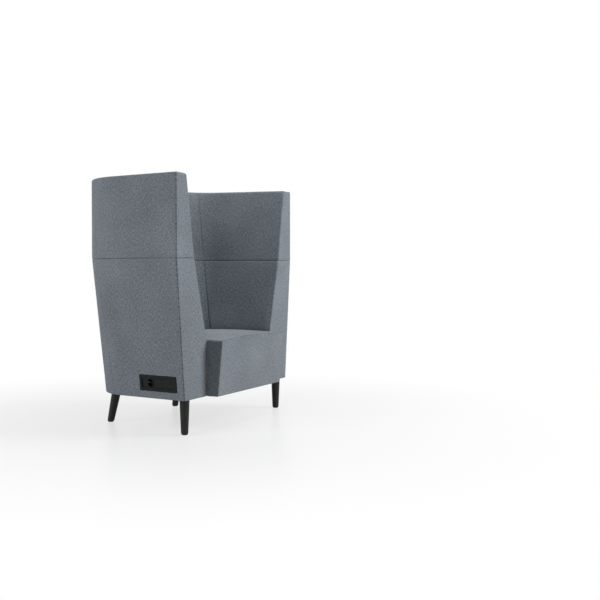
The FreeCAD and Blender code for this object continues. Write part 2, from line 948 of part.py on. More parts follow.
def data_plate():
    """Blank plate with one round grommet."""
    hole = Part.makeCylinder(
        grommet_diameter / 2, plate_thickness + 2,
        Vector(grommet_x, grommet_rise, -plate_sink - plate_thickness - 1))
    return on_wall(one_solid(plate(data_width, data_x).cut(hole)))


def data_grommet():
    """Bush in the blank plate, with a small bore and a rounded lip."""
    low = -plate_sink - plate_thickness
    length = plate_thickness + grommet_lip
    bush = Part.makeCylinder(
        grommet_diameter / 2, length, Vector(grommet_x, grommet_rise, low))
    rim = [edge for edge in bush.Edges if at_height(edge, low + length)]
    bush = bush.makeFillet(grommet_round, rim)
    bore = Part.makeCylinder(
        grommet_bore / 2, length + 2, Vector(grommet_x, grommet_rise, low - 1))
    return on_wall(bush.cut(bore))


inlet_face = -outer_pad - panel_thickness - cutout_clearance
inlet_back = inlet_face - inlet_thickness


def inlet_body(gap):
    """Connector that hangs from the housing towards the underside."""
    length = module_up
    return module_box(
        inlet_width + 2 * gap, length, inlet_back - gap, inlet_face + gap,
        inlet_x, -housing_height / 2 - length / 2)


def inlet_space(gap):
    """Slot for the connector through the board and the cloth under it."""
    return on_wall(inlet_body(gap))


def power_inlet():
    """Three pole connector for the supply lead, flush with the underside."""
    body = inlet_body(0)
    stem = module_box(
        inlet_width, housing_wall, inlet_back, inlet_face,
        inlet_x, -housing_height / 2 + housing_wall / 2)
    body = on_wall(body.fuse(stem).removeSplitter())
    body = one_solid(body.common(slab(body_bottom, reach)))
    turn = module_placement().Rotation
    down = turn.multVec(Vector(0, -1, 0))
    middle_depth = (inlet_face + inlet_back) / 2
    for shift in (-inlet_pitch, 0, inlet_pitch):
        mouth = module_placement().multVec(Vector(inlet_x + shift, -module_up, middle_depth))
        start = mouth - down * inlet_contact_depth
        body = body.cut(Part.makeCylinder(
            inlet_contact / 2, 2 * inlet_contact_depth, start, down))
    return body


# Output

def export(name, shape):
    """Write one named piece."""
    shape.exportStep("parts/" + name + ".step")
    print(name, len(shape.Solids), "solids", round(shape.Volume / 1000, 1), "cm3", shape.isValid())


def export_storey(prefix, layers, holes):
    """Write the left hand, right hand and back pieces of each layer of a storey."""
    for key, shape in layers.items():
        for side, piece in split_at_corners(shape).items():
            if (key, side) in holes:
                piece = one_solid(piece.cut(holes[key, side]))
            if piece.Solids:
                export(prefix + "_" + key + "_" + side, piece)


def main():
    """Build every piece and write it."""
    os.makedirs("parts", exist_ok=True)

    places = bolt_places()
    lower = lower_shell()
    lower["rail"] = lower["rail"].cut(cylinders(
        bolt_diameter / 2 + bolt_clearance, seam_height - rail_height - 1,
        seam_height + 1, places))
    lower_rail = split_at_corners(lower.pop("rail"))
    hole = wall_cutout()
    export_storey("lower", lower, {
        ("cover", "right"): hole,
        ("panel", "right"): hole,
    })
    export("lower_rail", Part.makeCompound(list(lower_rail.values())))

    upper = upper_screen()
    bores = cylinders(insert_diameter / 2, seam_height - 1, seam_height + rail_height + 1, places)
    upper_rail = split_at_corners(upper.pop("rail").cut(bores))
    export_storey("upper", upper, {})
    export("upper_rail", Part.makeCompound(list(upper_rail.values())))
    export("screen_bolts", screen_bolts())
    export("screen_inserts", screen_inserts())

    cushion, front_upholstery = seat_upholstery()
    side_rails, rear_rail, front_rail = seat_rails()
    export("seat_cushion", cushion)
    export("seat_front_pad", front_upholstery)
    export("seat_front_panel", seat_front_panel())
    export("seat_side_rails", side_rails)
    export("seat_rear_rail", rear_rail)
    export("seat_front_rail", front_rail)
    export("seat_corner_blocks", corner_blocks())
    export("seat_webbing", webbing())

    export("base_board", base_board())
    export("dust_cover", dust_cover())
    feet = leg_feet()
    for name, top in leg_tops().items():
        export("leg_" + name, leg(top, feet[name]))
    export("leg_studs", leg_studs())
    export("leg_plates", leg_plates())
    export("leg_plate_screws", plate_screws())
    export("leg_glides", glides())

    export("power_bezel", bezel())
    export("power_bezel_screws", bezel_screws())
    export("power_housing", housing())
    export("power_mains_plate", mains_plate())
    export("power_socket", socket_insert())
    export("power_earth_clips", on_wall(Part.makeCompound(earth_clip_blocks())))
    export("power_data_plate", data_plate())
    export("power_data_grommet", data_grommet())
    export("power_inlet", power_inlet())


main()
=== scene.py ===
# %% [markdown]
# # An upholstered acoustic lounge chair
# The chair is a tall shell that wraps round one seat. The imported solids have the
# real sizes, and the sizes below repeat theirs. This script dresses them: it makes
# the sewn cloth panels, the seat, the threads and the finishes, and then sets the
# camera and the light.
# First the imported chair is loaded, because every piece follows its frame.

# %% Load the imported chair
import json
import math

import bmesh
import bpy
from mathutils import Matrix, Vector, noise


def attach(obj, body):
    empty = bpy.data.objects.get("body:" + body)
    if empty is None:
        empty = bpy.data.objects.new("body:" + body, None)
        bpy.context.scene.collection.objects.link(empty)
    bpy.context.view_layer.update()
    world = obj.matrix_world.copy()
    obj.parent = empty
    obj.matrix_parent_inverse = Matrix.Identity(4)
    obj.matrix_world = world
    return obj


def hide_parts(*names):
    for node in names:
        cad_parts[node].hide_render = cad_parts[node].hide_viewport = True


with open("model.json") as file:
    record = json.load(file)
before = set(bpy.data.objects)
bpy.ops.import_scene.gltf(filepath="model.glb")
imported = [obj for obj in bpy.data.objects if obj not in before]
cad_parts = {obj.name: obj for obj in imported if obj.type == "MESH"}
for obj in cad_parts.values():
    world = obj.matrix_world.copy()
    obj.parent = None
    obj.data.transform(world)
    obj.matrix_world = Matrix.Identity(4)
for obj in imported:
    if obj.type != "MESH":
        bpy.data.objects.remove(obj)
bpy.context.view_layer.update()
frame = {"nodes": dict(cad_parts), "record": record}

# %% [markdown]
# ## The plan of the shell
# Seen from above, the wall runs straight back from the front, turns through a
# round corner and crosses the back in a wide arc. Every layer of the wall is the
# same line moved inwards. One small set of functions gives a point on that line
# for any layer, height and distance, so all panels share their edges.

# %% Sizes of the plan, in metres
HALF, FRONT, BACK = 0.600, -0.300, 0.385
TOP, SEAM, SEAT, BOTTOM = 1.200, 0.815, 0.435, 0.163
TAPER, CORNER_R, BACK_R = math.radians(8.7), 0.315, 1.360
SIN_T, COS_T = math.sin(TAPER), math.cos(TAPER)
BACK_CY = BACK - BACK_R  # centre of the wide arc
DRAW_IN = 0.064  # how far the outside draws in from the seam to the bottom
WALL_TOP, WALL_SEAM, WALL_SEAT = 0.088, 0.154, 0.260  # wall thickness, from the plan
PAD_LOW = 0.1825 + 0.0005  # just above the base board
SLIT = 0.0006  # play between a soft piece and its neighbour


def corner_centre():
    """Centre of the round corner, tangent to the side and to the back arc."""
    x = HALF - CORNER_R * COS_T
    y = FRONT - CORNER_R * SIN_T - BACK_CY
    b = y * COS_T - x * SIN_T
    c = x * x + y * y - (BACK_R - CORNER_R) ** 2
    run = -b + math.sqrt(b * b - c)
    return x - run * SIN_T, y + BACK_CY + run * COS_T


CX, CY = corner_centre()
CORNER_END = math.atan2(CY - BACK_CY, CX)
print("corner centre", round(CX, 4), round(CY, 4))

# %% The two faces of the wall at any height


def outer_offset(z):
    """The outside is upright above the seam and draws in below it."""
    return 0.0 if z >= SEAM else DRAW_IN * (SEAM - z) / (SEAM - BOTTOM)


def inner_offset(z):
    """The inside leans in, so the wall is thicker towards the seat."""
    if z >= SEAM:
        return WALL_TOP + (WALL_SEAM - WALL_TOP) * (TOP - z) / (TOP - SEAM)
    if z >= SEAT:
        return WALL_SEAM + (WALL_SEAT - WALL_SEAM) * (SEAM - z) / (SEAM - SEAT)
    return WALL_SEAT


def side_x(offset, y):
    """Half width on the straight side."""
    return HALF - offset / COS_T - (y - FRONT) * SIN_T / COS_T


def corner_point(offset, angle, z):
    """Point of a layer on the arc of the round corner."""
    r = CORNER_R - offset
    return Vector((CX + r * math.cos(angle), CY + r * math.sin(angle), z))


# %% [markdown]
# ## Where the corner seam runs
# A sewn seam stands in each rear corner. It lies in a leaning plane, so on every
# layer it crosses the round corner at a slightly different angle.

# %% The seam's angle on a layer
SEAM_WAY = math.radians(34)
seam_top = corner_point(WALL_TOP, math.radians(38), TOP)
seam_mid = corner_point(WALL_SEAM, math.radians(30), SEAM)
radial = Vector((math.cos(SEAM_WAY), math.sin(SEAM_WAY), 0))
seam_normal = radial.cross(seam_top - seam_mid).normalized()


def seam_angle(offset, z):
    """Angle at which the seam's plane crosses a layer's corner arc."""
    r = CORNER_R - offset
    a, b = seam_normal.x * r, seam_normal.y * r
    c = seam_normal.dot(seam_top) - seam_normal.z * z
    c -= seam_normal.x * CX + seam_normal.y * CY
    middle, spread = math.atan2(b, a), math.acos(max(-1, min(1, c / math.hypot(a, b))))
    return min((middle + spread, middle - spread), key=lambda angle: abs(
        (angle - SEAM_WAY + math.pi) % (2 * math.pi) - math.pi))


print("seam angle outside", round(math.degrees(seam_angle(0, TOP)), 1))

# %% [markdown]
# ## Walking along the wall
# A panel is laid out by distance along its line, as cloth is cut. So these
# functions take a distance and give the point there and the way out of the chair.

# %% Points along a wing and along the back


def wing_length(offset, z):
    """Length of the straight part, and of the whole wing up to the corner seam."""
    start = Vector((side_x(offset, FRONT), FRONT, 0))
    straight = (corner_point(offset, TAPER, 0) - start).length
    return straight, straight + (CORNER_R - offset) * (seam_angle(offset, z) - TAPER)


def wing_point(offset, z, s):
    """Point at distance s behind the front, and the way out of the chair there."""
    straight, _ = wing_length(offset, z)
    if s <= straight:
        x = side_x(offset, FRONT) - s * SIN_T
        return Vector((x, FRONT + s * COS_T, z)), Vector((COS_T, SIN_T, 0))
    angle = TAPER + (s - straight) / (CORNER_R - offset)
    return corner_point(offset, angle, z), Vector((math.cos(angle), math.sin(angle), 0))


def back_length(offset, z):
    """Length from the corner seam to the wide arc, and from seam to seam."""
    corner = (CORNER_R - offset) * (CORNER_END - seam_angle(offset, z))
    return corner, 2 * (corner + (BACK_R - offset) * (math.pi / 2 - CORNER_END))


def back_point(offset, z, s):
    """Point at distance s from the left corner seam, round to the right one."""
    corner, whole = back_length(offset, z)
    if s > whole / 2:
        p, out = back_point(offset, z, whole - s)
        return Vector((-p.x, p.y, p.z)), Vector((-out.x, out.y, 0))
    if s <= corner:
        angle = seam_angle(offset, z) + s / (CORNER_R - offset)
        return corner_point(offset, angle, z), Vector((math.cos(angle), math.sin(angle), 0))
    r = BACK_R - offset
    angle = CORNER_END + (s - corner) / r
    out = Vector((math.cos(angle), math.sin(angle), 0))
    return Vector((r * out.x, BACK_CY + r * out.y, z)), out


print("wing", round(wing_length(0, TOP)[1], 3), "back", round(back_length(0, TOP)[1], 3))

# %% [markdown]
# ## How a sewn edge looks
# Cloth over foam doesn't end in a sharp edge. It turns down into the seam. An
# edge profile is a short list of (distance from the edge, depth below the face).
# A butt seam turns straight down. At a corner two panels meet on the diagonal,
# so each turns through only half of the right angle and then dives.

# %% Edge profiles


def arc_steps(r, gap, whole, steps):
    """Steps of an arc that ends level with the face."""
    turns = [whole * (1 - k / steps) for k in range(steps + 1)]
    return [(gap + r * (1 - math.sin(a)), r * (1 - math.cos(a))) for a in turns]


def butt(r, gap=0.0003):
    """From the seam inwards: a quarter circle down into the seam."""
    return arc_steps(r, gap, math.pi / 2, 5)


def mitre(r, dive=0.0025, gap=0.0002):
    """From the corner inwards: a dive on the diagonal, then an eighth of a circle."""
    k0 = r * (1 - math.sqrt(0.5))
    return [(k0 + dive + gap, k0 + dive)] + arc_steps(r, gap, math.pi / 4, 4)


def ladder(length, first, last, count):
    """Distances and depths across a panel: fine at both edges, even between."""
    low, high = first[-1][0], length - last[-1][0]
    even = [(low + (high - low) * k / (count + 1), 0.0) for k in range(1, count + 1)]
    return list(first) + even + [(length - a, d) for a, d in reversed(last)]


PLAIN = [(0.0, 0.0)]  # an end where the cloth just goes on
SEWN, FLAT_SEAM, PAD_SEAM, TUCK, ROLL = map(butt, (0.0038, 0.0026, 0.005, 0.003, 0.009))
CORNER, TOP_EDGE = mitre(0.007), mitre(0.011)
ROWS = 34  # even rows between the lower and the upper edge of a wall panel
print("butt", [tuple(round(v * 1000, 1) for v in p) for p in SEWN])

# %% [markdown]
# ## From two grids to a closed panel
# Each panel has a face that shows and a face that lies on the board. Both are
# grids with the same rows and columns. The rim joins them, and the result is a
# closed form. A very soft noise of under a millimetre keeps the cloth from
# looking like sheet metal. The panel keeps its own map in metres, which the
# weave will follow.

# %% Build a closed panel


def add_object(name, data):
    """Put a mesh, curve, lamp or camera into the scene."""
    made = bpy.data.objects.new(name, data)
    bpy.context.scene.collection.objects.link(made)
    return made


def mesh_object(name, mesh):
    """Turn an edit mesh into an object of the scene."""
    data = bpy.data.meshes.new(name)
    mesh.to_mesh(data)
    mesh.free()
    return add_object(name, data)


def closed_panel(name, face, hidden, maps):
    """Mesh object from two equal grids of points and a grid of cloth coordinates."""
    rows, cols = len(face), len(face[0])
    mesh = bmesh.new()
    front = [[mesh.verts.new(p) for p in row] for row in face]
    rear = [[mesh.verts.new(p) for p in row] for row in hidden]
    uv = mesh.loops.layers.uv.new("cloth")
    where = {}
    for grid in (front, rear):
        for verts, places in zip(grid, maps):
            where.update(zip(verts, places))
    for grid, turned in ((front, False), (rear, True)):
        for i in range(rows - 1):
            for j in range(cols - 1):
                ring = [grid[i][j], grid[i][j + 1], grid[i + 1][j + 1], grid[i + 1][j]]
                mesh.faces.new(reversed(ring) if turned else ring)
    loop = [(0, j) for j in range(cols)] + [(i, cols - 1) for i in range(1, rows)]
    loop += [(rows - 1, j) for j in range(cols - 2, -1, -1)]
    loop += [(i, 0) for i in range(rows - 2, 0, -1)]
    for k, (i, j) in enumerate(loop):
        m, n = loop[(k + 1) % len(loop)]
        mesh.faces.new([front[m][n], front[i][j], rear[i][j], rear[m][n]])
        mesh.edges.get((front[m][n], front[i][j])).smooth = False
    for face_made in mesh.faces:
        face_made.smooth = True
        for corner in face_made.loops:
            corner[uv].uv = where[corner.vert]
    bmesh.ops.recalc_face_normals(mesh, faces=mesh.faces)
    return mesh_object(name, mesh)


def ripple(p, amount=0.0006):
    """Soft unevenness of stretched cloth, the same each run."""
    return amount * noise.noise(Vector(p) * 9.0)


def other_side(line):
    """The same points on the other side of the chair."""
    return [Vector((-p.x, p.y, p.z)) for p in line]


def mirror(grids):
    """The same panel on the other side of the chair."""
    face, hidden, maps = grids
    return [other_side(row) for row in face], [other_side(row) for row in hidden], maps


def ease(value, near, far):
    """0 up to near, 1 beyond far, and a soft step between."""
    share = min(1.0, max(0.0, (value - near) / (far - near)))
    return share * share * (3 - 2 * share)


# %% [markdown]
# ## Outer covers
# The outside of each storey is three panels: two wings and the back. A wing's
# front edge meets the front face on the diagonal of the corner. The lower edge
# tucks under the chair.

# %% Outer covers
COVER, COVER_SLIT, COVER_START = 0.0117, 0.0005, 0.0121


def cover_grids(point_at, length_at, low, high, first, last, bottom, top, count):
    """Grids of an outer panel between two heights."""
    rows = []
    for rise, dz in ladder(high - low, bottom, top, ROWS):
        z = low + rise
        offset = outer_offset(z)
        length = length_at(offset, z)[1]
        end = length - COVER_SLIT
        line, under, run = [], [], []
        for s, ds in ladder(length, first, last, count):
            p, out = point_at(offset, z, s)
            line.append(p - out * (math.hypot(dz, ds) - ripple(p)))
            behind = min(max(s, COVER_SLIT), end)
            if first is CORNER:
                share = (s - first[0][0]) / (length - first[0][0])
                behind = COVER_START + (end - COVER_START) * max(0, share)
            q, way = point_at(offset, z, behind)
            under.append(q - way * COVER)
            run.append((s, z))
        rows.append((line, under, run))
    return list(zip(*rows))


covers = {}
for storey, low, high, bottom, top in (
        ("lower", BOTTOM, SEAM, TUCK, SEWN), ("upper", SEAM, TOP, SEWN, ROLL)):
    wing = cover_grids(wing_point, wing_length, low, high, CORNER, FLAT_SEAM, bottom, top, 46)
    back = cover_grids(back_point, back_length, low, high, FLAT_SEAM, FLAT_SEAM, bottom, top, 90)
    covers[storey + "_cover_left"] = closed_panel(storey + "_wing_cloth_left", *wing)
    covers[storey + "_cover_right"] = closed_panel(storey + "_wing_cloth_right", *mirror(wing))
    covers[storey + "_cover_back"] = closed_panel(storey + "_back_cloth", *back)
print("covers:", sorted(covers))

# %% [markdown]
# ## Inner pads
# One piece of cloth goes from the sewn front corner across the front face, round
# the front edge and along the inside to the corner seam. At each height its line
# is worked out in three runs: front, edge and wall. The pad is thick at the wall
# and thin at the front.

# %% One level of a wing pad
FRONT_THICK, BEND = 0.0217, 0.003
PAD_START = 0.0125  # the pad's hidden face starts here, inside the cover


def edge_radius(z):
    """Round above the seat and nearly sharp beside it, where the seat fills the corner."""
    return 0.0012 + 0.0058 * ease(z, SEAT + 0.005, SEAT + 0.075)


def edge_run(x_in, z, count=8):
    """Points and inward directions round the front edge of the wing."""
    go_in, go_back = Vector((-1, 0, 0)), Vector((-SIN_T, COS_T, 0))
    turn, radius = go_in.angle(go_back), edge_radius(z)
    reach = radius * math.tan(turn / 2)
    corner = Vector((x_in, FRONT, z))
    middle = corner + (go_back - go_in).normalized() * radius / math.cos(turn / 2)
    first = (corner - go_in * reach) - middle
    arms = [Matrix.Rotation(-turn * k / count, 3, "Z") @ first for k in range(1, count)]
    return reach, [(middle + arm, -arm.normalized()) for arm in arms]


def pad_level(z, wall_thick):
    """Face points with depths, hidden points and cloth distances at one height."""
    offset = inner_offset(z)
    x_out, x_in = side_x(outer_offset(z), FRONT), side_x(offset, FRONT)
    x_first, x_last = x_out - PAD_START, x_in + wall_thick + BEND
    reach, edge = edge_run(x_in, z)
    width, start = x_out - x_in - reach, CORNER[0][0]
    arc = edge_radius(z) * 1.4  # cloth that goes round the edge
    face, back, run = [], [], []
    for s, d in ladder(width, CORNER, PLAIN, 9):
        face.append((Vector((x_out - s, FRONT, z)), Vector((0, 1, 0)), d))
        share = (s - start) / (width - start)
        back.append(Vector((x_first + share * (x_last - x_first), FRONT + FRONT_THICK, z)))
        run.append(s)
    for k, (p, way) in enumerate(edge):
        face.append((p, way, 0.0))
        share = (k + 1) / (len(edge) + 1)
        back.append(Vector((x_in + wall_thick + BEND * (1 - share) ** 2,
                            FRONT + FRONT_THICK + BEND * share ** 2, z)))
        run.append(width + arc * share)
    whole, inner_start = wing_length(offset, z)[1], FRONT_THICK + BEND
    for s, d in ladder(whole - reach, PLAIN, FLAT_SEAM, 40):
        p, out = wing_point(offset, z, reach + s)
        face.append((p, out, d))
        share = s / (whole - reach)
        q, way = wing_point(offset, z, inner_start + (whole - SLIT - inner_start) * share)
        back.append(q + way * wall_thick)
        run.append(width + arc + s)
    return face, back, run


# %% Wing pads, left and right
LOWER_PAD, UPPER_PAD, UPPER_PAD_LOW = 0.0397, 0.056, 0.068
FOOT_FROM = 0.018  # from here back the lower pad stands on the base board


def pad_grids(low, high, bottom, top, thick_at):
    """Grids of a wing pad. Behind the front the lower one starts on the board."""
    rows = []
    for rise, dz in ladder(high - low, bottom, top, ROWS):
        z = low + rise
        line, under, run = [], [], []
        for (p, way, d), q, s in zip(*pad_level(z, thick_at(z))):
            lift = Vector()
            if low == BOTTOM and p.y > FRONT + FOOT_FROM:
                lift.z = (PAD_LOW - BOTTOM) * (high - z) / (high - low)
            line.append(p + way * (math.hypot(dz, d) - ripple(p)) + lift)
            under.append(q + lift)
            run.append((s, z))
        rows.append((line, under, run))
    return list(zip(*rows))


def lower_thick(z):
    """The lower pad has one thickness."""
    return LOWER_PAD


def upper_thick(z):
    """The upper pad is thicker towards the seam."""
    return UPPER_PAD + (UPPER_PAD_LOW - UPPER_PAD) * (TOP - z) / (TOP - SEAM)


pads = {}
for storey, low, high, bottom, top, thick_at in (
        ("lower", BOTTOM, SEAM, TUCK, PAD_SEAM, lower_thick),
        ("upper", SEAM, TOP, PAD_SEAM, TOP_EDGE, upper_thick)):
    wing = pad_grids(low, high, bottom, top, thick_at)
    pads[storey + "_pad_left"] = closed_panel(storey + "_wing_pad_left", *wing)
    pads[storey + "_pad_right"] = closed_panel(storey + "_wing_pad_right", *mirror(wing))
print("wing pads:", sorted(pads))

# %% [markdown]
# ## Back pads
# The back's pads run from corner seam to corner seam. The lower one stands on
# the base board, because the seat hides its foot.

# %% Back pads


def back_grids(low, high, bottom, top, thick_at):
    """Grids of a pad of the back."""
    rows = []
    for rise, dz in ladder(high - low, bottom, top, ROWS):
        z = low + rise
        offset = inner_offset(z)
        length = back_length(offset, z)[1]
        line, under, run = [], [], []
        for s, ds in ladder(length, FLAT_SEAM, FLAT_SEAM, 70):
            p, out = back_point(offset, z, s)
            line.append(p + out * (math.hypot(dz, ds) - ripple(p)))
            q, way = back_point(offset, z, min(max(s, SLIT), length - SLIT))
            under.append(q + way * thick_at(z))
            run.append((s, z))
        rows.append((line, under, run))
    return list(zip(*rows))


pads["lower_pad_back"] = closed_panel(
    "lower_back_pad", *back_grids(PAD_LOW, SEAM, SEWN, PAD_SEAM, lower_thick))
pads["upper_pad_back"] = closed_panel(
    "upper_back_pad", *back_grids(SEAM, TOP, PAD_SEAM, TOP_EDGE, upper_thick))
print("pads:", sorted(pads))

# %% [markdown]
# ## The strip along the top
# The top of the wall is a narrow band of cloth between the outside and the
# inside. It is sewn to both, and it is part of the same pads.

# %% Top strips
STRIP_START, STRIP_THICK = 0.0122, 0.018


def strip_grids(point_at, length_at, first, last, count):
    """Grids of the band on top of the wall."""
    rows = []
    for across, dz in ladder(WALL_TOP - STRIP_START, FLAT_SEAM, TOP_EDGE, 8):
        offset = STRIP_START + across
        line, under, run = [], [], []
        for s, ds in ladder(length_at(offset, TOP)[1], first, last, count):
            p, _ = point_at(offset, TOP, s)
            line.append(p - Vector((0, 0, math.hypot(dz, ds) - ripple(p))))
            under.append(p - Vector((0, 0, STRIP_THICK)))
            run.append((s, across))
        rows.append((line, under, run))
    return list(zip(*rows))


def joined(name, parts):
    """Several meshes in one object, each still closed."""
    mesh = bmesh.new()
    for part in parts:
        mesh.from_mesh(part.data)
    piece = mesh_object(name, mesh)
    for part in parts:
        old = part.data
        bpy.data.objects.remove(part)
        bpy.data.meshes.remove(old)
    return piece


wing = strip_grids(wing_point, wing_length, TOP_EDGE, FLAT_SEAM, 44)
back = strip_grids(back_point, back_length, FLAT_SEAM, FLAT_SEAM, 80)
for key, grids in (("left", wing), ("right", mirror(wing)), ("back", back)):
    pad = pads["upper_pad_" + key]
    strip = closed_panel("strip_" + key, *grids)
    pads["upper_pad_" + key] = joined(pad.name + "_sewn", [pad, strip])
print("strips joined to the upper pads")

# %% [markdown]
# ## The cut-out for the power module
# The cover on the sitter's right has a hole for the module. A plain box is taken
# out of the cloth. It is the size of the solid's own hole, which the frame round
# the module hides.

# %% Cut the hole in the right hand cover
MODULE_ALONG, MODULE_UP = 0.1535, 0.073  # middle of the module, from the lower front corner
HOLE_HALF_LONG, HOLE_HALF_HIGH, HOLE_IN, HOLE_OUT = 0.110, 0.028, -0.05, 0.02
rise = SEAM - BOTTOM
module_up = Vector((-COS_T * DRAW_IN, SIN_T * DRAW_IN, rise)).normalized()
module_out = Vector((-COS_T * rise, SIN_T * rise, -DRAW_IN)).normalized()
module_along = Vector((SIN_T, COS_T, 0))
module_base = Vector((-side_x(DRAW_IN, FRONT), FRONT, BOTTOM))
module_middle = module_base + module_along * MODULE_ALONG + module_up * MODULE_UP


def module_point(x, y, z):
    """Place in the module's own directions: to the front, up the wall, out of it."""
    return module_middle - module_along * x + module_up * y + module_out * z


def settle(piece):
    """Make the modifiers' result the piece's own mesh."""
    bpy.context.view_layer.update()
    graph = bpy.context.evaluated_depsgraph_get()
    fresh = bpy.data.meshes.new_from_object(piece.evaluated_get(graph))
    piece.modifiers.clear()
    old = piece.data
    piece.data = fresh
    bpy.data.meshes.remove(old)


def cut_box(piece, half_x, half_y, low, high):
    """Take a box in the module's directions out of a piece."""
    mesh = bmesh.new()
    signs = [(-1, -1), (1, -1), (1, 1), (-1, 1)]
    ends = [[mesh.verts.new(module_point(sx * half_x, sy * half_y, z)) for sx, sy in signs]
            for z in (low, high)]
    mesh.faces.new(ends[0])
    mesh.faces.new(ends[1])
    for k in range(4):
        n = (k + 1) % 4
        mesh.faces.new([ends[0][k], ends[0][n], ends[1][n], ends[1][k]])
    bmesh.ops.recalc_face_normals(mesh, faces=mesh.faces)
    hole = mesh_object("hole", mesh)
    cut = piece.modifiers.new("hole", "BOOLEAN")
    cut.operation, cut.object, cut.solver = "DIFFERENCE", hole, "EXACT"
    settle(piece)
    bpy.data.objects.remove(hole)


cut_box(covers["lower_cover_right"], HOLE_HALF_LONG, HOLE_HALF_HIGH, HOLE_IN, HOLE_OUT)
print("hole cut, faces:", len(covers["lower_cover_right"].data.polygons))

# %% [markdown]
# ## The plan of the seat
# The seat fills the space between the wings and the back, and its nose stands
# out in front of them. The top is crowned, and the front face leans back towards
# the floor. The top cloth rolls over the sides of the nose and runs down them in
# one surface, so the only seams that show are round the front face.

# %% Sizes of the seat
SEAT_IN, CUSHION_LOW, NOSE, LEAN = 0.261, 0.3035, -0.385, 0.025 / 0.272
SEAT_HALF = side_x(SEAT_IN, FRONT)
WING_PLANE = FRONT - SLIT
ROLL_R, SIDE_PAD, FRONT_PAD = 0.010, 0.0147, 0.0247
THIN, SIDE_TOP, SIDE_LEAST = 0.0012, 0.418, 0.0055  # side of the nose near the roll
HIDDEN_LOW = BOTTOM + 0.001  # lowest point of a hidden side
CROWN = 0.012
CROWN_R = (SEAT_HALF ** 2 + CROWN ** 2) / (2 * CROWN)
CROWN_Y = (NOSE + BACK - SEAT_IN) / 2
SEAT_SEAM, ROLL_STEPS = mitre(0.006), butt(ROLL_R, gap=0.0)


def seat_top(x, y):
    """Height of the crowned top."""
    return SEAT + CROWN - CROWN_R + math.sqrt(CROWN_R ** 2 - x * x - (y - CROWN_Y) ** 2)


def nose_front(z):
    """The front face leans back towards the floor."""
    return NOSE + (SEAT - z) * LEAN


def edge_distance(x, y):
    """How far a point of the plan is from the seat's side or rear edge."""
    x = abs(x)
    if y < FRONT:
        return SEAT_HALF - x
    if TAPER < math.atan2(y - CY, x - CX) < CORNER_END:
        return CORNER_R - SEAT_IN - math.hypot(x - CX, y - CY)
    side = (HALF - x) * COS_T - (y - FRONT) * SIN_T - SEAT_IN
    return min(side, BACK_R - SEAT_IN - math.hypot(x, y - BACK_CY))


def rolled_top(x, y):
    """Top of the seat with its rolled side and rear edges."""
    near = min(ROLL_R, max(0.0, ROLL_R - edge_distance(x, y)))
    return seat_top(x, y) - ROLL_R + math.sqrt(ROLL_R ** 2 - near ** 2)


def side_thick(z, top):
    """The side of the nose is thin under the roll and full below the cushion."""
    share = min(1.0, max(0.0, (top - z) / (top - CUSHION_LOW)))
    return THIN + (SIDE_PAD - THIN) * share


def inner_half(z):
    """Half width of what lies between the sides of the nose."""
    return SEAT_HALF - max(side_thick(z, SIDE_TOP), SIDE_LEAST) - SLIT


print("seat half width", round(SEAT_HALF, 4), "crown radius", round(CROWN_R, 2))

# %% [markdown]
# ## Rows of the seat's top
# The top is one grid from the nose to the rear edge. Its rows start straight and
# turn, over the last few centimetres, into the curve of the back with its two
# round corners. So the cloth has no pinched corner.

# %% Rows of the top, from the nose to the rear edge


def nose_rows(z):
    """Places along y from the front seam to the wings, with depths of the seam."""
    rows = [(nose_front(z) + a, d) for a, d in SEAT_SEAM]
    start = rows[-1][0]
    return rows + [(start + (WING_PLANE - start) * k / 6, 0.0) for k in range(1, 7)]


def row_ladder(half):
    """Distances across the seat, fine where it rolls over at both sides."""
    return [s for s, _ in ladder(2 * half, ROLL_STEPS, ROLL_STEPS, 46)]


def straight_row(y, half):
    """Row of the plan straight across the seat."""
    return [Vector((-half + s, y, 0)) for s in row_ladder(half)]


def rear_edge(share, mid):
    """Point of the rear edge between the middles of the two round corners."""
    r, reach = CORNER_R - SEAT_IN, BACK_R - SEAT_IN
    sweep = reach * (math.pi / 2 - CORNER_END)
    run = abs(share - 0.5) * 2 * (r * (CORNER_END - mid) + sweep)
    angle = math.pi / 2 - run / reach
    p = Vector((reach * math.cos(angle), BACK_CY + reach * math.sin(angle), 0))
    if run > sweep:
        p = corner_point(SEAT_IN, CORNER_END - (run - sweep) / r, 0)
    return p if share > 0.5 else Vector((-p.x, p.y, 0))


def rear_rows(start_y, half, depth=0.07):
    """Rows that turn from a straight line into the rear edge with its round corners."""
    mid = (TAPER + CORNER_END) / 2
    corner = corner_point(SEAT_IN, mid, 0)
    rows = []
    for b, _ in ladder(depth, PLAIN, ROLL_STEPS, 8)[1:]:
        v = b / depth
        side = corner_point(SEAT_IN, TAPER + (mid - TAPER) * v, 0)
        flat = Vector((half, start_y, 0)).lerp(corner, v)
        row = []
        for share in [s / (2 * half) for s in row_ladder(half)]:
            turn = 2 * share - 1
            p = Vector((turn * half, start_y, 0)) * (1 - v) + rear_edge(share, mid) * v
            row.append(p + Vector((turn * (side.x - flat.x), side.y - flat.y, 0)))
        rows.append(row)
    return rows


# %% Grids of the cushion


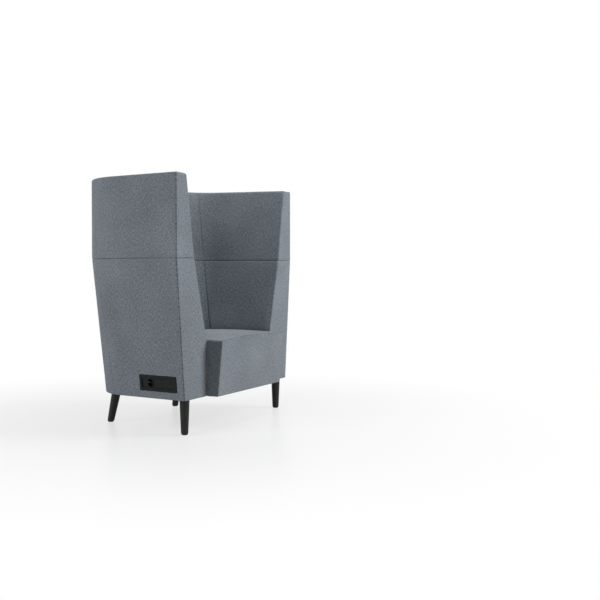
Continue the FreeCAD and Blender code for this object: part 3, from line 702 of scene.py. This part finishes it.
def nose_row(step, count):
    """One row of the cushion where it stands out in front of the wings."""
    line, under, run = [], [], []
    low_y = nose_front(CUSHION_LOW) + FRONT_PAD + SLIT + 0.002
    low_half = SEAT_HALF - SIDE_PAD - SLIT
    for p in straight_row(0.0, SEAT_HALF):
        top = rolled_top(p.x, NOSE)
        wide = p.x / SEAT_HALF
        if step < 2:  # the hidden front, behind the front pad
            z = (CUSHION_LOW + 0.0005, top - FRONT_PAD - 0.0003)[step]
            q = Vector((wide * inner_half(z), nose_front(z) + FRONT_PAD + SLIT, z))
        else:
            y, d = nose_rows(top)[step - 2]
            q = Vector((p.x, y, rolled_top(p.x, y)))
            away = min(1.0, max(0.0, ROLL_R - edge_distance(p.x, y)) / ROLL_R)
            q += Vector((-math.copysign(d * away, p.x), 0, -d * math.sqrt(1 - away ** 2)))
        line.append(q)
        low = low_y + (WING_PLANE - low_y) * step / count
        under.append(Vector((wide * low_half, low, CUSHION_LOW)))
        run.append((q.x, q.y))
    return line, under, run


def cushion_grids():
    """The crowned top with its rolls, and the flat underside."""
    count = len(nose_rows(SEAT)) + 1
    rows = [nose_row(step, count) for step in range(count + 1)]
    start_y = CY + (CORNER_R - SEAT_IN) * SIN_T
    places = [FRONT + (start_y - FRONT) * k / 30 for k in range(1, 31)]
    plan = [straight_row(y, side_x(SEAT_IN, y)) for y in places]
    for row in plan + rear_rows(start_y, side_x(SEAT_IN, start_y)):
        line = [Vector((p.x, p.y, rolled_top(p.x, p.y))) for p in row]
        under = [Vector((p.x * 0.998, p.y - 0.001, CUSHION_LOW)) for p in row]
        rows.append((line, under, [(p.x, p.y) for p in row]))
    return list(zip(*rows))


# %% [markdown]
# ## The front of the seat
# The leaning face is sewn along its top and down both sides. The sides of the
# nose go on where the cushion's roll ends, so no seam shows there.

# %% Grids of the front face and of the nose's sides


def level(rise, whole, height, zone=0.02):
    """Heights keep their distance from the lower and from the upper edge."""
    if rise < zone:
        return BOTTOM + rise
    if rise > whole - zone:
        return BOTTOM + height - (whole - rise)
    return BOTTOM + zone + (rise - zone) * (height - 2 * zone) / (whole - 2 * zone)


def front_grids():
    """The leaning front face, sewn along the top and down both sides."""
    rows = []
    columns = ladder(2 * SEAT_HALF, SEAT_SEAM, SEAT_SEAM, 46)
    first, last = columns[0][0], columns[-1][0]
    whole = rolled_top(0.0, NOSE) - BOTTOM
    for rise, dz in ladder(whole, TUCK, SEAT_SEAM, 22):
        line, inside, run = [], [], []
        for s, dx in columns:
            x = s - SEAT_HALF
            top = rolled_top(x, NOSE)
            z = level(rise, whole, top - BOTTOM)
            line.append(Vector((x, nose_front(z) + math.hypot(dz, dx), z)))
            way = 2 * (s - first) / (last - first) - 1
            deep = nose_front(z) + min(FRONT_PAD, top - z - 0.0002)
            inside.append(Vector((inner_half(z) * way, deep, max(z, HIDDEN_LOW))))
            run.append((x, z))
        rows.append((line, inside, run))
    return list(zip(*rows))


def nose_side_grids():
    """Side of the nose, which goes on where the cushion's roll ends."""
    rows = []
    count = len(nose_rows(SEAT))
    for step in range(count):
        line, inside, run = [], [], []
        top = rolled_top(SEAT_HALF, nose_rows(rolled_top(SEAT_HALF, NOSE))[step][0])
        for rise, dz in ladder(top - BOTTOM, TUCK, PLAIN, 22):
            z = BOTTOM + rise
            y, d = nose_rows(z)[step]
            line.append(Vector((SEAT_HALF - math.hypot(d, dz), y, z)))
            thick = max(side_thick(z, top), d + THIN)
            start = nose_front(z) + min(FRONT_PAD, 0.004 + top - z) + SLIT
            inner_y = start + (WING_PLANE - start) * step / (count - 1)
            inside.append(Vector((SEAT_HALF - thick, inner_y, max(z, HIDDEN_LOW))))
            run.append((y, z))
        rows.append((line, inside, run))
    return list(zip(*rows))


cushion = closed_panel("seat_cushion_cloth", *cushion_grids())
face = closed_panel("seat_front_face", *front_grids())
print("cushion faces", len(cushion.data.polygons), "front faces", len(face.data.polygons))

# %% [markdown]
# ## Let the seat swell
# Firm foam pushes the cloth out a little between its seams. A cloth simulation
# with air pressure gives that better than moving points by hand. The edges are
# pinned, the swelling is scaled down to a cap, and it fades out at the seams, so
# the sewn lines stay crisp and the seat keeps its size.

# %% Swell a padded piece by simulation
LAST_FRAME = 20


def swollen(piece, freedom, pressure, cap):
    """Blow up the free part of a closed piece, by no more than the cap."""
    start = [v.co.copy() for v in piece.data.vertices]
    free = [freedom(p) for p in start]
    held = piece.vertex_groups.new(name="held")
    for k, share in enumerate(free):
        held.add([k], 1.0 - share, "REPLACE")
    cloth = piece.modifiers.new("cloth", "CLOTH")
    cloth.settings.vertex_group_mass = "held"
    cloth.settings.use_pressure = True
    cloth.settings.uniform_pressure_force = pressure
    cloth.settings.effector_weights.gravity = 0
    cloth.settings.quality = 5
    cloth.point_cache.frame_start, cloth.point_cache.frame_end = 1, LAST_FRAME
    for k in range(1, LAST_FRAME + 1):
        bpy.context.scene.frame_set(k)
    settle(piece)
    bpy.context.scene.frame_set(1)
    moves = [v.co - old for v, old in zip(piece.data.vertices, start)]
    farthest = max(move.length * share for move, share in zip(moves, free))
    scale = min(1.0, cap / max(farthest, 1e-6))
    for vert, old, move, share in zip(piece.data.vertices, start, moves, free):
        vert.co = old + move * share * scale
    print(piece.name, "swelled by", round(farthest * scale * 1000, 2), "mm")


def top_freedom(p):
    """The top of the cushion is free away from its edges."""
    if p.z < 0.40:
        return 0.0
    return ease(min(edge_distance(p.x, p.y), p.y - NOSE), 0.010, 0.090)


def face_freedom(p):
    """The front face is free away from its edges."""
    if p.y > nose_front(p.z) + 0.004:
        return 0.0
    edge = min(SEAT_HALF - abs(p.x), p.z - BOTTOM, seat_top(p.x, NOSE) - p.z)
    return ease(edge, 0.008, 0.070)


swollen(cushion, top_freedom, pressure=4.0, cap=0.006)
swollen(face, face_freedom, pressure=4.0, cap=0.0025)

# %% Join the front face and the sides of the nose
side = nose_side_grids()
front_pad = joined("seat_front_cloth", [
    face, closed_panel("nose_side_left", *side), closed_panel("nose_side_right", *mirror(side))])
print("front pad faces", len(front_pad.data.polygons))

# %% [markdown]
# ## Short ways to build shaders
# Every finish is a small tree of nodes. This class adds a node with its settings
# and inputs in one line. An input is a plain value or another node's output.

# %% Node helpers
WHITE = (1, 1, 1, 1)


class Tree:
    """Short ways to add nodes to one node tree."""

    def __init__(self, node_tree):
        self.nodes, self.link = node_tree.nodes, node_tree.links.new

    def feed(self, node, inputs):
        """Set inputs to values or link them to outputs."""
        for key, value in inputs.items():
            if isinstance(value, bpy.types.NodeSocket):
                self.link(value, node.inputs[key])
            else:
                node.inputs[key].default_value = value

    def add(self, kind, inputs, **settings):
        node = self.nodes.new(kind)
        for key, value in settings.items():
            setattr(node, key, value)
        self.feed(node, inputs)
        return node

    def coords(self, kind):
        return self.nodes.new("ShaderNodeTexCoord").outputs[kind]

    def math(self, operation, *values):
        node = self.add("ShaderNodeMath", dict(enumerate(values)), operation=operation)
        return node.outputs[0]

    def stretched(self, vector, scale):
        return self.add("ShaderNodeMapping", {"Vector": vector, "Scale": scale}).outputs[0]

    def noise(self, vector, scale, detail, rough):
        return self.add("ShaderNodeTexNoise", {
            "Vector": vector, "Scale": scale, "Detail": detail,
            "Roughness": rough}).outputs["Fac"]

    def ramp(self, source, stops):
        node = self.add("ShaderNodeValToRGB", {"Fac": source})
        elements = node.color_ramp.elements
        while len(elements) < len(stops):
            elements.new(0.5)
        for element, (place, colour) in zip(elements, stops):
            element.position = place
            element.color = (*colour, 1.0)
        return node.outputs["Color"]

    def bump(self, height, strength, distance):
        return self.add("ShaderNodeBump", {
            "Height": height, "Strength": strength, "Distance": distance}).outputs[0]

    def mix(self, share, first, second):
        return self.add("ShaderNodeMixShader", {0: share, 1: first, 2: second}).outputs[0]

    def seen(self):
        """1 for rays from the camera, in a reflection or through something clear."""
        path = self.nodes.new("ShaderNodeLightPath").outputs
        return self.math("MAXIMUM", path["Is Camera Ray"], self.math(
            "MAXIMUM", path["Is Glossy Ray"], path["Is Transmission Ray"]))


def new_finish(name):
    """A material, the short ways into its tree, and its shader."""
    made = bpy.data.materials.new(name)
    made.use_nodes = True
    return made, Tree(made.node_tree), made.node_tree.nodes["Principled BSDF"]


print("node helpers ready")

# %% [markdown]
# ## Cloth
# The fabric is a wool mix with light and dark yarns spun together. Three things
# make it: a plain weave of crossing yarns in the bump, a fine speckle of greys
# in the colour, and a slight sheen of loose fibre at grazing angles. The weave
# follows the panel's own map, so it turns the corner with the cloth.

# %% The wool mix


def wool_mix(name, dark, middle, light, yarn=0.0017):
    """Mottled woollen cloth."""
    made, tree, shader = new_finish(name)
    cloth = tree.coords("UV")
    split = tree.add("ShaderNodeSeparateXYZ", {0: cloth})
    across, along = (
        tree.math("SINE", tree.math("MULTIPLY", split.outputs[k], 2 * math.pi / yarn))
        for k in (0, 1))
    weave = tree.math("MULTIPLY", across, along)
    flecks = tree.noise(cloth, 520.0, 3.0, 0.7)
    shade = tree.noise(tree.coords("Object"), 5.0, 2.0, 0.5)
    blend = tree.math("ADD", tree.math("MULTIPLY", flecks, 0.30),
                      tree.math("MULTIPLY", shade, 0.08))
    for stretch in ((78, 330, 1), (330, 78, 1)):  # thick yarns, across and along
        thick_yarn = tree.noise(tree.stretched(cloth, stretch), 1.0, 2.0, 0.7)
        blend = tree.math("ADD", blend, tree.math("MULTIPLY", thick_yarn, 0.31))
    height = tree.math("ADD", weave, tree.math("MULTIPLY", flecks, 1.6))
    tree.feed(shader, {
        "Base Color": tree.ramp(blend, [(0.435, dark), (0.5, middle), (0.565, light)]),
        "Normal": tree.bump(height, 0.55, 0.0003),
        "Roughness": 0.95, "Specular IOR Level": 0.2,
        "Sheen Weight": 0.18, "Sheen Roughness": 0.5})
    return made


wool = wool_mix("wool_mix", (0.092, 0.108, 0.124), (0.155, 0.178, 0.201), (0.245, 0.272, 0.298))
print("cloth:", wool.name)

# %% [markdown]
# ## Hard finishes
# The legs are black stained wood with a little grain. Boards and rails inside
# are plain timber. The module is moulded plastic with a fine grain, and its
# springs are dull metal. Each one is a shader with its own roughness and bump.

# %% Wood and timber


def timber(name, dark, light, rough, strength, stretch=(22, 22, 2)):
    """Wood with grain and pores drawn out along one direction."""
    made, tree, shader = new_finish(name)
    place = tree.stretched(tree.coords("Object"), stretch)
    grain = tree.noise(place, 9.0, 6.0, 0.65)
    pores = tree.noise(place, 60.0, 2.0, 0.5)
    tree.feed(shader, {
        "Base Color": tree.ramp(grain, [(0.35, dark), (0.65, light)]),
        "Roughness": tree.math("ADD", tree.math("MULTIPLY", pores, 0.18), rough),
        "Normal": tree.bump(tree.math("ADD", grain, pores), strength, 0.0004),
        "Specular IOR Level": 0.22})
    return made


black_wood = timber("black_stained_wood", (0.007, 0.008, 0.008), (0.015, 0.016, 0.016), 0.40, 0.25)
pale_timber = timber("pale_timber", (0.42, 0.30, 0.17), (0.60, 0.46, 0.29), 0.6, 0.3, (4, 30, 30))
plywood = timber("plywood", (0.38, 0.27, 0.16), (0.55, 0.42, 0.27), 0.65, 0.3, (3, 18, 60))

# %% Plastic and metal


def moulded(name, low, high, rough, grain=1800.0, metal=0.0, shine=0.25):
    """Plastic, metal or plain cloth with a fine grain."""
    made, tree, shader = new_finish(name)
    place = tree.coords("Object")
    fine = tree.noise(place, grain, 2.0, 0.5)
    broad = tree.noise(place, 25.0, 2.0, 0.5)
    tree.feed(shader, {
        "Base Color": tree.ramp(broad, [(0.35, low), (0.65, high)]),
        "Roughness": tree.math("ADD", tree.math("MULTIPLY", fine, 0.16), rough),
        "Normal": tree.bump(fine, 0.15, 0.0001),
        "Metallic": metal, "Specular IOR Level": shine})
    return made


MODULE_SHINE = 0.12
finishes = {
    "shell_fabric": wool,
    "inner_fabric": wool,
    "seat_fabric": wool,
    "frame_board": plywood,
    "frame_timber": pale_timber,
    "leg_wood": black_wood,
    "webbing": moulded("webbing_cloth", (0.02, 0.02, 0.02), (0.04, 0.04, 0.04), 0.8, 900.0),
    "dust_cloth": moulded(
        "dust_cloth", (0.012, 0.012, 0.012), (0.022, 0.022, 0.022), 0.85, 700.0),
    "zinc_steel": moulded(
        "zinc_steel", (0.55, 0.55, 0.56), (0.68, 0.69, 0.70), 0.3, 900.0, 1.0),
    "glide_plastic": moulded(
        "glide_plastic", (0.012, 0.012, 0.012), (0.02, 0.02, 0.02), 0.5),
    "module_frame": moulded(
        "module_frame", (0.006, 0.008, 0.0075), (0.009, 0.011, 0.0105), 0.45, shine=MODULE_SHINE),
    "module_plate": moulded(
        "module_plate", (0.010, 0.012, 0.0115), (0.012, 0.014, 0.0135), 0.5, shine=MODULE_SHINE),
    "module_black": moulded(
        "module_black", (0.008, 0.009, 0.009), (0.010, 0.012, 0.011), 0.5, shine=MODULE_SHINE),
    "contact_metal": moulded(
        "contact_metal", (0.22, 0.23, 0.22), (0.27, 0.28, 0.27), 0.45, 900.0, 0.4),
}
blackened = moulded(
    "blackened_screw_steel", (0.02, 0.02, 0.02), (0.035, 0.035, 0.035), 0.4, 900.0, 0.7)
print("finishes:", len(finishes) + 1)

# %% [markdown]
# ## Dress the solids that stay
# The solids with the right shape stay as they are. Only their material changes.
# The record says which finish belongs to which solid.

# %% Give each kept solid its finish
slots = {part["node"]: part["material_slot"] for part in frame["record"]["subparts"]}
for node, solid in frame["nodes"].items():
    for slot_made in solid.material_slots:
        slot_made.material = finishes[slots[node]]
for slot_made in frame["nodes"]["power_bezel_screws"].material_slots:
    slot_made.material = blackened
print("dressed solids:", len(slots))

# %% [markdown]
# ## Panels in place of solids
# Each cloth panel takes the place of one soft solid, which is hidden. It rides on
# the chair's one body and wears the wool of the solid's finish. Each group carries
# a fill from 0, slack, to 1, tight, with the seat a little softer than the walls,
# but nothing here applies it.

# %% Let every panel stand for its solid
seat = {"seat_cushion": cushion, "seat_front_pad": front_pad}
for fill, pieces in ((0.9, {**covers, **pads}), (0.85, seat)):
    for node, piece in pieces.items():
        piece.data.materials.clear()
        piece.data.materials.append(wool)
        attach(piece, "root")
        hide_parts(node)
print("padded pieces:", len(covers) + len(pads) + len(seat))

# %% [markdown]
# ## Stitches
# The outer front corners and the seat's front edge are closed with a visible
# thread. A stitch repeats along a path, so Geometry Nodes make it: the seam is a
# curve, the tree sets a point at every pitch and puts one short, rounded thread
# there, turned along the seam. The result is made a plain mesh.

# %% The stitch tree


def stitch_tree(thread_material):
    """Geometry Nodes tree that turns a curve into a row of stitches."""
    group = bpy.data.node_groups.new("seam_stitches", "GeometryNodeTree")
    sockets = group.interface
    sockets.new_socket("Seam", in_out="INPUT", socket_type="NodeSocketGeometry")
    for name, value in (("Pitch", 0.005), ("Stitch length", 0.0034), ("Thread", 0.0005)):
        socket = sockets.new_socket(name, in_out="INPUT", socket_type="NodeSocketFloat")
        socket.default_value = value
    sockets.new_socket("Stitches", in_out="OUTPUT", socket_type="NodeSocketGeometry")
    tree = Tree(group)
    start = tree.nodes.new("NodeGroupInput").outputs
    points = tree.add("GeometryNodeCurveToPoints", {
        "Curve": start["Seam"], "Length": start["Pitch"]}, mode="LENGTH")
    bead = tree.add("GeometryNodeMeshUVSphere", {"Segments": 6, "Rings": 4, "Radius": 1.0})
    size = tree.add("ShaderNodeCombineXYZ", {
        "X": start["Thread"], "Y": start["Thread"],
        "Z": tree.math("MULTIPLY", start["Stitch length"], 0.5)})
    placed = tree.add("GeometryNodeInstanceOnPoints", {
        "Points": points.outputs["Points"], "Instance": bead.outputs["Mesh"],
        "Rotation": points.outputs["Rotation"], "Scale": size.outputs[0]})
    real = tree.add("GeometryNodeRealizeInstances", {0: placed.outputs[0]})
    painted = tree.add("GeometryNodeSetMaterial", {
        "Geometry": real.outputs[0], "Material": thread_material})
    tree.add("NodeGroupOutput", {"Stitches": painted.outputs[0]})
    return group


thread = moulded("seam_thread", (0.014, 0.017, 0.020), (0.024, 0.028, 0.032), 0.75, 2500.0)
stitches = stitch_tree(thread)
print("tree nodes:", len(stitches.nodes))

# %% Run a seam of stitches along lines


def seam_of_stitches(name, lines, radius, pitch=0.0085, length=0.0058):
    """One mesh with the stitches of several lines."""
    curve = bpy.data.curves.new(name + "_line", "CURVE")
    curve.dimensions = "3D"
    for line in lines:
        spline = curve.splines.new("POLY")
        spline.points.add(len(line) - 1)
        for point, p in zip(spline.points, line):
            point.co = (*p, 1.0)
    holder = add_object(name + "_line", curve)
    step = holder.modifiers.new("stitches", "NODES")
    step.node_group = stitches
    wanted = {"Pitch": pitch, "Stitch length": length, "Thread": radius}
    for item in stitches.interface.items_tree:
        if item.in_out == "INPUT" and item.name in wanted:
            step[item.identifier] = wanted[item.name]
    bpy.context.view_layer.update()
    graph = bpy.context.evaluated_depsgraph_get()
    data = bpy.data.meshes.new_from_object(holder.evaluated_get(graph))
    bpy.data.objects.remove(holder)
    for polygon in data.polygons:
        polygon.use_smooth = True
    piece = add_object(name, data)
    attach(piece, "root")
    print(name, "faces", len(data.polygons))


# %% [markdown]
# ## The lines that are sewn
# A line lies a little below the edge, in the groove between two panels, so half
# of each stitch shows.

# %% Sew the front corners and the seat
FROM_FOOT, FROM_SEAM, FROM_END = 0.006, 0.005, 0.012  # a thread stops this short of them


def corner_line(low, high, sink=0.0017):
    """Line down the sewn front corner, in the groove between the two panels."""
    heights = [low + (high - low) * k / 40 for k in range(41)]
    return [Vector((side_x(outer_offset(z), FRONT) - sink, FRONT + sink, z)) for z in heights]


def seat_edge_line(sink=0.0014):
    """Line along the top edge of the seat's front face."""
    line = []
    for k in range(41):
        x = (SEAT_HALF - FROM_END) * (k / 20 - 1)
        z = rolled_top(x, NOSE) - sink
        line.append(Vector((x, nose_front(z) + sink, z)))
    return line


def seat_corner_line(sink=0.0014):
    """Line down the left hand edge of the seat's front face."""
    low, high = BOTTOM + FROM_FOOT, rolled_top(SEAT_HALF, NOSE) - 0.004
    heights = [low + (high - low) * k / 20 for k in range(21)]
    return [Vector((SEAT_HALF - sink, nose_front(z) + sink, z)) for z in heights]


front_lines = [corner_line(BOTTOM + FROM_FOOT, SEAM - FROM_SEAM),
               corner_line(SEAM + FROM_SEAM, TOP - FROM_END)]
seam_of_stitches("corner_stitches", front_lines + [other_side(a) for a in front_lines], 0.00085)
seat_lines = [seat_edge_line(), seat_corner_line(), other_side(seat_corner_line())]
seam_of_stitches("seat_stitches", seat_lines, 0.00075)

# %% [markdown]
# ## Floor
# The photograph has a pale, slightly glossy floor that fades into white. The
# floor is a large plane. Near the chair a third of what is seen is its own tone,
# with the chair's shadow. Farther out all of it is plain white. Only the camera and
# reflections see that white, so it hardly lights the cloth.

# %% Floor
REACH, FADE_NEAR, FADE_FAR, FADE_LEAST = 30, 0.7, 2.3, 0.66
floor_mesh = bpy.data.meshes.new("floor")
floor_mesh.from_pydata(
    [(-REACH, -REACH, 0), (REACH, -REACH, 0), (REACH, REACH, 0), (-REACH, REACH, 0)],
    [], [(0, 1, 2, 3)])
floor = add_object("floor", floor_mesh)
floor_finish, tree, shader = new_finish("studio_floor")
tree.feed(shader, {
    "Base Color": (0.60, 0.60, 0.605, 1), "Roughness": 0.32, "Specular IOR Level": 0.45})
distance = tree.add("ShaderNodeVectorMath", {0: tree.coords("Object")}, operation="LENGTH")
fade = tree.add("ShaderNodeMapRange", {
    "Value": distance.outputs["Value"], "From Min": FADE_NEAR, "From Max": FADE_FAR,
    "To Min": FADE_LEAST, "To Max": 1.0}, interpolation_type="SMOOTHSTEP")
plain_white = tree.add("ShaderNodeEmission", {"Color": WHITE, "Strength": 1.0})
share = tree.math("MULTIPLY", fade.outputs["Result"], tree.seen())
blend = tree.mix(share, shader.outputs[0], plain_white.outputs[0])
tree.link(blend, tree.nodes["Material Output"].inputs["Surface"])
floor.data.materials.append(floor_finish)
print("floor fades to white from", FADE_NEAR, "to", FADE_FAR, "m")

# %% [markdown]
# ## Background and light
# The world is white for the camera and for reflections, and a weak soft light for
# everything else. Most of the light comes from three large soft boxes: one in
# front, one above, and one to the left of the camera.

# %% World
world = bpy.data.worlds.new("studio")
bpy.context.scene.world = world
world.use_nodes = True
tree = Tree(world.node_tree)
soft_light = tree.nodes["Background"]
tree.feed(soft_light, {"Color": WHITE, "Strength": 0.16})
white = tree.add("ShaderNodeBackground", {"Color": WHITE, "Strength": 1.0})
chosen = tree.mix(tree.seen(), soft_light.outputs[0], white.outputs[0])
tree.link(chosen, tree.nodes["World Output"].inputs["Surface"])
print("world:", world.name)

# %% Lamps


def softbox(name, place, aim, size, power):
    """A square lamp that points at a place."""
    lamp = bpy.data.lights.new(name, "AREA")
    lamp.shape, lamp.size, lamp.energy = "SQUARE", size, power
    holder = add_object(name, lamp)
    holder.location = place
    way = Vector(aim) - Vector(place)
    holder.rotation_euler = way.to_track_quat("-Z", "Y").to_euler()


softbox("front_box", (1.5, -4.2, 2.8), (0, 0, 0.6), size=2.4, power=203)
softbox("top_box", (0.4, -0.6, 4.2), (0, 0, 0.3), size=2.6, power=82)
softbox("left_box", (-4.2, 2.4, 2.4), (0, 0, 0.6), size=2.4, power=132)
print("lamps: front, top and left")

# %% [markdown]
# ## Camera
# The camera was worked out from the photograph together with the chair's shape.
# It stands to the chair's right and in front of it, at about 0.75 m, and looks
# down by less than two degrees.

# %% Camera
camera_data = bpy.data.cameras.new("camera")
camera_data.sensor_width, camera_data.lens = 36.0, 56.06
camera_data.clip_end = 200
camera = add_object("camera", camera_data)
look = Vector((0.9100, 0.4135, -0.0295)).normalized()
right = look.cross(Vector((0, 0, 1))).normalized()
turn = Matrix((right, right.cross(look), -look)).transposed()
camera.matrix_world = Matrix.Translation((-4.1664, -2.5252, 0.7493)) @ turn.to_4x4()
bpy.context.scene.camera = camera
bpy.context.scene.view_settings.view_transform = "Standard"
print("camera lens", camera_data.lens, "mm")
